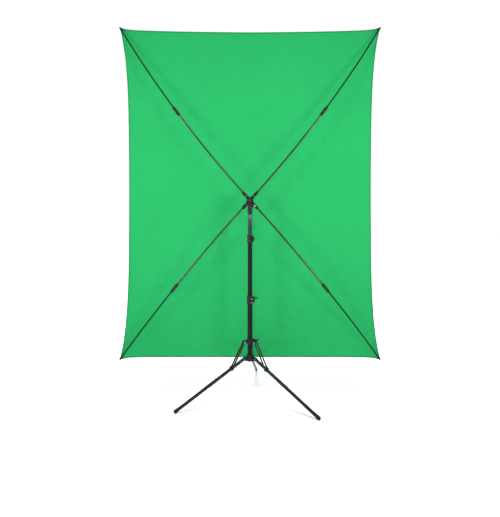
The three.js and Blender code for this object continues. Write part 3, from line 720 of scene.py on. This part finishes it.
def quarter(number, front, back, normal, u, v, marks):
    """One quarter of the cloth: two faces and a rim, with the whole cloth's normals on its edges."""
    rows, columns = u.shape
    vertices = np.concatenate([front.reshape(-1, 3), back.reshape(-1, 3)])
    count = rows * columns
    at = np.arange(count).reshape(rows, columns)
    quads = np.stack([at[:-1, :-1], at[:-1, 1:], at[1:, 1:], at[1:, :-1]], -1).reshape(-1, 4)
    rim = np.concatenate([at[0, :], at[1:, -1], at[-1, -2::-1], at[-2:0:-1, 0]])
    after = np.roll(rim, -1)
    walls = np.stack([rim, rim + count, after + count, after], -1)
    faces = np.concatenate([quads, quads[:, ::-1] + count, walls])
    mesh = bpy.data.meshes.new(f"cloth_quarter_{number}")
    mesh.from_pydata(vertices.tolist(), [], faces.tolist())
    flat = np.stack([u * 2 * HALF_WIDTH, v * HEIGHT], -1).reshape(-1, 2)
    loops = np.zeros(len(mesh.loops), np.int32)
    mesh.loops.foreach_get("vertex_index", loops)
    layer = mesh.uv_layers.new(name="flat")
    layer.data.foreach_set("uv", np.concatenate([flat, flat])[loops].astype(np.float32).ravel())
    # the hem attribute carries the mask of the hem's painted shade
    hem = mesh.attributes.new("hem", "FLOAT", "POINT")
    hem.data.foreach_set("value", np.concatenate([marks.ravel(), marks.ravel()]).astype(np.float32))
    mesh.shade_smooth()
    mesh.normals_split_custom_set_from_vertices(
        np.concatenate([normal.reshape(-1, 3), -normal.reshape(-1, 3)]).tolist()
    )
    mesh.materials.append(LOOKS["cloth"])
    made = bpy.data.objects.new(f"cloth_quarter_{number}", mesh)
    bpy.context.scene.collection.objects.link(made)
    return made


def make_patch(number):
    """A corner patch of webbing, sewn to the cloth's back, under the hood that the rod's tip sits in."""
    side, up = corner_signs(number)
    reach, tip, rows, columns = 24.0, 1.5, 10, 14  # mm from the corner, and its grid
    margin, gap, thick = 0.6, 0.05, 0.8  # mm: from the cloth's edges, and off the cloth's back
    back = CLOTH_HIGH.y
    spots = []
    for r in range(rows + 1):
        far = tip + (reach - tip) * r / rows
        for c in range(columns + 1):
            across = max(far * (1 - c / columns), margin) * MM
            down = max(far * c / columns, margin) * MM
            pu, pv = across / (2 * HALF_WIDTH), down / HEIGHT
            x, z = on_cloth(np.array(1 - pu if side > 0 else pu), np.array(1 - pv if up > 0 else pv))
            spots.append((float(x), float(z)))
    top = [(x, back + thick * MM, z) for x, z in spots]
    low = [(x, back + gap * MM, z) for x, z in spots]
    count, wide = len(top), columns + 1
    quads = [
        (r * wide + c, r * wide + c + 1, (r + 1) * wide + c + 1, (r + 1) * wide + c)
        for r in range(rows)
        for c in range(columns)
    ]
    edge = [*range(wide), *(r * wide + columns for r in range(1, rows + 1))]
    edge += [rows * wide + c for c in range(columns - 1, -1, -1)]
    edge += [r * wide for r in range(rows - 1, 0, -1)]
    walls = [(a, b, b + count, a + count) for a, b in zip(edge, edge[1:] + edge[:1])]
    faces = quads + [tuple(k + count for k in reversed(q)) for q in quads] + walls
    patch = object_of(f"corner_patch_{number}", top + low, faces, "webbing", spots * 2)
    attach(patch, f"arm_rod_{number}")
    return patch


# ---- Tripod and fittings ---------------------------------------------------------------------------


def rounded_rectangle(width, height, corner, steps=5):
    """Points round a rectangle whose corners have a radius, 4 * (steps + 1) of them."""
    points = []
    for turn, (sx, sy) in enumerate(((1, 1), (-1, 1), (-1, -1), (1, -1))):
        centre = Vector((sx * (width / 2 - corner), sy * (height / 2 - corner)))
        for k in range(steps + 1):
            a = math.radians(90 * turn + 90 * k / steps)
            points.append(centre + Vector((math.cos(a), math.sin(a))) * corner)
    return points


def hinged_axes(joint, node):
    """A hinged bar's frame at its pivot: x along the bar, y along the pivot's pin."""
    pivot, pin = hinge(joint)
    along = middle(node) - pivot
    along = (along - pin * along.dot(pin)).normalized()
    axes = Matrix((along, pin, along.cross(pin))).transposed().to_4x4()
    axes.translation = pivot
    return axes


def box_in(axes, node):
    """(low, high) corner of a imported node's box in a frame, in mm."""
    back = axes.inverted()
    seen = [(back @ v.co) / MM for v in frame["nodes"][node].data.vertices]
    return Vector(map(min, zip(*seen))), Vector(map(max, zip(*seen)))


def make_leg(number):
    """The leg's tube: a rounded rectangle with its ends rolled in."""
    node = f"leg_tube_{number}"
    axes = hinged_axes(f"leg_{number}_fold", node)
    least, most = box_in(axes, node)
    low, high, width, height = least.x, most.x, 2 * most.y, 2 * most.z
    corner, rolled, wall, steps = 3.8, 0.4, 1.3, 24

    def ring(at, inset):
        shape = rounded_rectangle(width - 2 * inset, height - 2 * inset, corner - inset * 0.9)
        return [axes @ (Vector((at, p.x, p.y)) * MM) for p in shape]

    stations = [low + rolled + (high - low - 2 * rolled) * k / steps for k in range(steps + 1)]
    rings = [ring(low, rolled)] + [ring(at, 0.0) for at in stations] + [ring(high, rolled)]
    rings += [ring(high, wall)] + [ring(at, wall) for at in reversed(stations)] + [ring(low, wall)]
    around = [0.0]
    for a, b in zip(rings[1], rings[1][1:]):
        around.append(around[-1] + (b - a).length)
    spots = [low, *stations, high, high, *reversed(stations), low]
    flat = [(girth, at * MM) for at in spots for girth in around]
    made = skinned(f"leg_{number}_tube", rings, "leg", flat, loop=True)
    stand_for(made, f"leg_{number}", "leg_black", node)


def make_foot(number):
    """A rubber boot over the leg's end: rounded edges, a lip, a closed tip and a flat sole on the floor."""
    node = f"foot_cap_{number}"
    axes = hinged_axes(f"leg_{number}_fold", f"leg_tube_{number}")
    least, most = box_in(axes, node)
    low, high, width, height = least.x, most.x, 2 * most.y, 2 * most.z
    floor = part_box(node)[0].z
    wall, mouth, lip, tip = 0.95, 4.0, 0.35, 3.0  # mm: rubber, modelled depth, lip's step, tip's radius
    slope, sloped = 0.12, 8.0  # the tip's slant, longer at the sole, and the mm over which it sets in

    def ring(at, inset):
        corner = max(1.0, 4.2 - inset * 0.8)
        slant = slope * min(1.0, max(0.0, (at - high) / sloped + 1))
        points = []
        for p in rounded_rectangle(width - 2 * inset, height - 2 * inset, corner):
            point = axes @ (Vector((at - slant * (p.y + height / 2), p.x, p.y)) * MM)
            point.z = max(point.z, floor)
            points.append(point)
        return points

    # each step is (place along the leg, inset), from inside the mouth to the closed tip
    steps = [(low + mouth, wall), (low, wall), (low, wall - lip), (low + 0.4, 0.0), (low + 2.6, 0.0)]
    steps += [(low + 3.2, lip), (high - 6.0, lip), (high - tip, 0.5)]
    steps += [(high - tip + tip * math.sin(a), 0.5 + tip * (1 - math.cos(a))) for a in (0.4, 0.8, 1.2, 1.5)]
    rings = [ring(*step) for step in steps]
    apart = 2.6  # mm, about the distance between a ring's points
    flat = [(k * apart * MM, at * MM) for at, _ in steps for k in range(len(rings[0]))]
    made = skinned(f"leg_{number}_foot", rings, "rubber", flat)
    stand_for(made, f"leg_{number}", "rubber_black", node)


def make_strut(number, side):
    """A flat strut: round eyes on its pins, a narrower waist, and a black rivet on the leg's end."""
    node, body = f"strut_{number}_{side}", f"brace_{number}"
    axes = hinged_axes(f"{body}_swing", node)
    least, most = box_in(axes, node)
    eye = most.z
    reach = most.x - eye
    outwards = math.copysign(1, least.y)
    inner = min(abs(least.y), abs(most.y))
    thickness, waist, shoulder, steps = 2.0, 4.8, 12.0, 40  # mm; a waist is half the bar's width there

    def half_width(at):
        t = min(1.0, max(0.0, min(at, reach - at)) / shoulder)
        return eye + (waist - eye) * t * t * (3 - 2 * t)

    angles = [math.radians(a) for a in (14, 30, 50, 70)]
    stations = [(-eye * math.cos(a), eye * math.sin(a)) for a in angles]
    stations += [(at, half_width(at)) for at in (reach * k / steps for k in range(steps + 1))]
    stations += [(reach + eye * math.cos(a), eye * math.sin(a)) for a in reversed(angles)]
    middle_y = outwards * (inner + thickness / 2)
    rings, flat = [], []
    for at, half in stations:
        shape = rounded_rectangle(thickness, 2 * half, 0.45, 2)
        rings.append([axes @ (Vector((at, middle_y + p.x, p.y)) * MM) for p in shape])
        flat += [(p.y * MM + p.x * MM, at * MM) for p in shape]
    made = skinned(f"strut_{number}_{side}_bar", rings, "leg", flat)
    stand_for(made, body, "leg_black", node)
    face = axes @ (Vector((reach, outwards * (inner + thickness), 0)) * MM)
    pin = axes.col[1].xyz
    bolt_head(f"strut_{number}_{side}_rivet", face, pin * outwards, 2.9, 1.3, body, "leg")


def plate_its_hub(knob):
    """Bright metal on the faces of a knob's round hub; the lever stays plastic."""
    hub_end = 30.8  # mm from the pole's axis
    knob.data.materials.append(LOOKS["steel_node"])
    for face in knob.data.polygons:
        face.material_index = 1 if (face.center.xy - POLE).length < hub_end * MM else 0


def dress_packed_nodes():
    """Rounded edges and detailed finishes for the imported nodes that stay."""
    moulded = ("base_hub", "spreader_collar", "lower_clamp", "upper_clamp", "hub_sleeve", "cross_hub")
    looks = {node: "plastic_node" for node in moulded}
    looks["centre_bolt"] = "dark_steel_node"
    for knob in ("spreader_knob", "lower_knob", "upper_knob", "hub_knob"):
        looks[knob] = "knob_node"
    for k in (1, 2, 3):
        looks[f"leg_pin_{k}"] = "steel_node"
        looks[f"leg_knuckle_{k}"] = looks[f"leg_clip_{k}"] = "plastic_node"
    for node, look in looks.items():
        made = frame["nodes"][node]
        made.data.materials.clear()
        made.data.materials.append(LOOKS[look])
        if node == "hub_knob":
            plate_its_hub(made)
        made.data.shade_smooth()
        weld = made.modifiers.new("weld", "WELD")
        weld.merge_threshold = 0.01 * MM
        flat = made.modifiers.new("flat_faces", "DECIMATE")
        flat.decimate_type = "DISSOLVE"
        flat.angle_limit = math.radians(0.6)
        bevel = made.modifiers.new("rounded_edges", "BEVEL")
        bevel.width = 0.35 * MM
        bevel.segments = 3
        bevel.limit_method = "ANGLE"
        bevel.angle_limit = math.radians(32)
        bevel.harden_normals = True


def bolt_head(name, at, direction, radius, height, body, look="steel"):
    """A domed head with a driver's socket, on a washer."""
    washer = radius * 1.3
    dome = [(0.5 + (height - 0.5) * math.sin(a), radius * math.cos(a)) for a in (0, 0.3, 0.6, 0.9, 1.15)]
    profile = [(-0.6, 0), (-0.6, washer), (0.5, washer), *dome]
    profile += [(height, radius * 0.3), (height * 0.5, radius * 0.28), (height * 0.5, 0)]
    made = turned(name, pointing(at, direction), profile, look, 32, 0.25)
    stand_for(made, body, "bright_metal")


def make_fittings():
    """The screws in the clamps, the upper clamp's browned, and the bright rivets in the spreader.
    Bearings are in degrees from +Y towards -X, rises in mm above a clamp's lower end."""
    lower_screws = ("lower", "lower_tube", "stand_base", 41, (8, 28), "steel")
    upper_screws = ("upper", "mid_tube", "mid_section", -6, (12, 34), "dark_steel")
    clamp_wall = 3.1  # mm from the tube's face to a screw's seat
    for section, tube, body, bearing, rises, look in (lower_screws, upper_screws):
        a = math.radians(90 + bearing)
        out = Vector((math.cos(a), math.sin(a), 0))
        for k, rise in enumerate(rises):
            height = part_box(f"{section}_clamp")[0].z + rise * MM
            at = Vector((*POLE, height)) + out * (radius_of(tube) + clamp_wall) * MM
            bolt_head(f"{section}_clamp_screw_{k + 1}", at, out, 2.5, 1.9, body, look)
    pin_end = 13.7  # mm from the leg's middle plane
    for k in (1, 2, 3):
        pivot, pin = hinge(f"brace_{k}_swing")
        for side, word in ((1, "left"), (-1, "right")):
            at = pivot + pin * side * pin_end * MM
            bolt_head(f"spreader_rivet_{k}_{word}", at, pin * side, 2.9, 1.2, "spreader")


# ---- Studio ----------------------------------------------------------------------------------------


def make_floor():
    """A white floor that stays under the feet when the legs close."""
    look = Look("floor_paper", "Object", Specular_IOR_Level=0.2, Roughness=0.9, Emission_Strength=0.28)
    look.set("Emission Color", (1, 1, 1))
    shade = look.spread(look.noise(900, 3, seed=41), 0, 1)
    look.set("Base Color", look.blend(shade, (0.9, 0.9, 0.9), (0.93, 0.93, 0.93)))
    look.raise_by(look.noise(2, 3, seed=42), 0.02)
    mesh = bpy.data.meshes.new("floor")
    reach = 14.0
    corners = [(x * reach, y * reach, 0) for x, y in ((-1, -1), (1, -1), (1, 1), (-1, 1))]
    mesh.from_pydata(corners, [], [(0, 1, 2, 3)])
    mesh.materials.append(look.material)
    floor = bpy.data.objects.new("floor", mesh)
    bpy.context.scene.collection.objects.link(floor)
    sole = bpy.data.objects.new("sole_point", None)
    low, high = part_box("foot_cap_2")
    sole.location = ((low.x + high.x) / 2, (low.y + high.y) / 2, low.z)
    bpy.context.scene.collection.objects.link(sole)
    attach(sole, "leg_2")
    follow = floor.constraints.new("COPY_LOCATION")
    follow.target, follow.use_x, follow.use_y = sole, False, False


def lamp(name, kind, azimuth, elevation, power, width):
    """A soft lamp that shines on the cloth. Azimuth is counted from +Y towards +X; angles in degrees.
    width is a sun's angle in degrees or a spot's radius in metres."""
    distance = 4.0
    data = bpy.data.lights.new(name, kind)
    data.energy = power
    light = bpy.data.objects.new(name, data)
    a, e = math.radians(azimuth), math.radians(elevation)
    towards = Vector((math.sin(a) * math.cos(e), math.cos(a) * math.cos(e), math.sin(e)))
    if kind == "SUN":
        data.angle = math.radians(width)
    else:
        data.shadow_soft_size, data.spot_size, data.spot_blend = width, math.radians(46), 1.0
    light.location = Vector((0, CLOTH_MIDDLE, HUB.z + 0.2)) + towards * distance
    light.rotation_euler = towards.to_track_quat("Z", "Y").to_euler()
    bpy.context.scene.collection.objects.link(light)


def make_studio():
    """A white room with soft lamps: two beside and one weak one behind the stand, one overhead, and one
    in front of the cloth."""
    scene = bpy.context.scene
    world = bpy.data.worlds.new("white_room")
    world.use_nodes = True
    nodes, links = world.node_tree.nodes, world.node_tree.links
    nodes["Background"].inputs["Color"].default_value = (1, 1, 1, 1)
    light, backdrop_extra = 0.26, 0.76  # the room's light, and how much brighter the camera sees it
    seen = nodes.new("ShaderNodeMath")
    seen.operation = "MULTIPLY_ADD"
    seen.inputs[1].default_value, seen.inputs[2].default_value = backdrop_extra, light
    links.new(nodes.new("ShaderNodeLightPath").outputs["Is Camera Ray"], seen.inputs[0])
    links.new(seen.outputs[0], nodes["Background"].inputs["Strength"])
    scene.world = world
    lamp("lamp_left", "SPOT", 54, 1, 303, 0.55)
    lamp("lamp_right", "SPOT", -52, 1, 303, 0.55)
    lamp("lamp_top", "SUN", 20, 82, 1.8, 18)
    lamp("lamp_behind", "SUN", 8, 6, 0.3, 7)
    lamp("lamp_front", "SUN", 170, 35, 2.0, 25)
    scene.view_settings.view_transform = "Standard"
    data = bpy.data.cameras.new("camera")
    data.lens, data.sensor_width, data.shift_y = 29.8, 36.0, -0.09
    camera = bpy.data.objects.new("camera", data)
    distance, eye_height = 2.487, 1.084
    camera.location = (0, POLE.y + distance, eye_height)
    camera.rotation_euler = (math.pi / 2, 0, math.pi)
    scene.collection.objects.link(camera)
    scene.camera = camera


make_pole()
for arm_number in (1, 2, 3, 4):
    make_arm(arm_number)
make_cloth()
for leg_number in (1, 2, 3):
    make_leg(leg_number)
    make_foot(leg_number)
    for strut_side in ("left", "right"):
        make_strut(leg_number, strut_side)
dress_packed_nodes()
make_fittings()
make_floor()
make_studio()
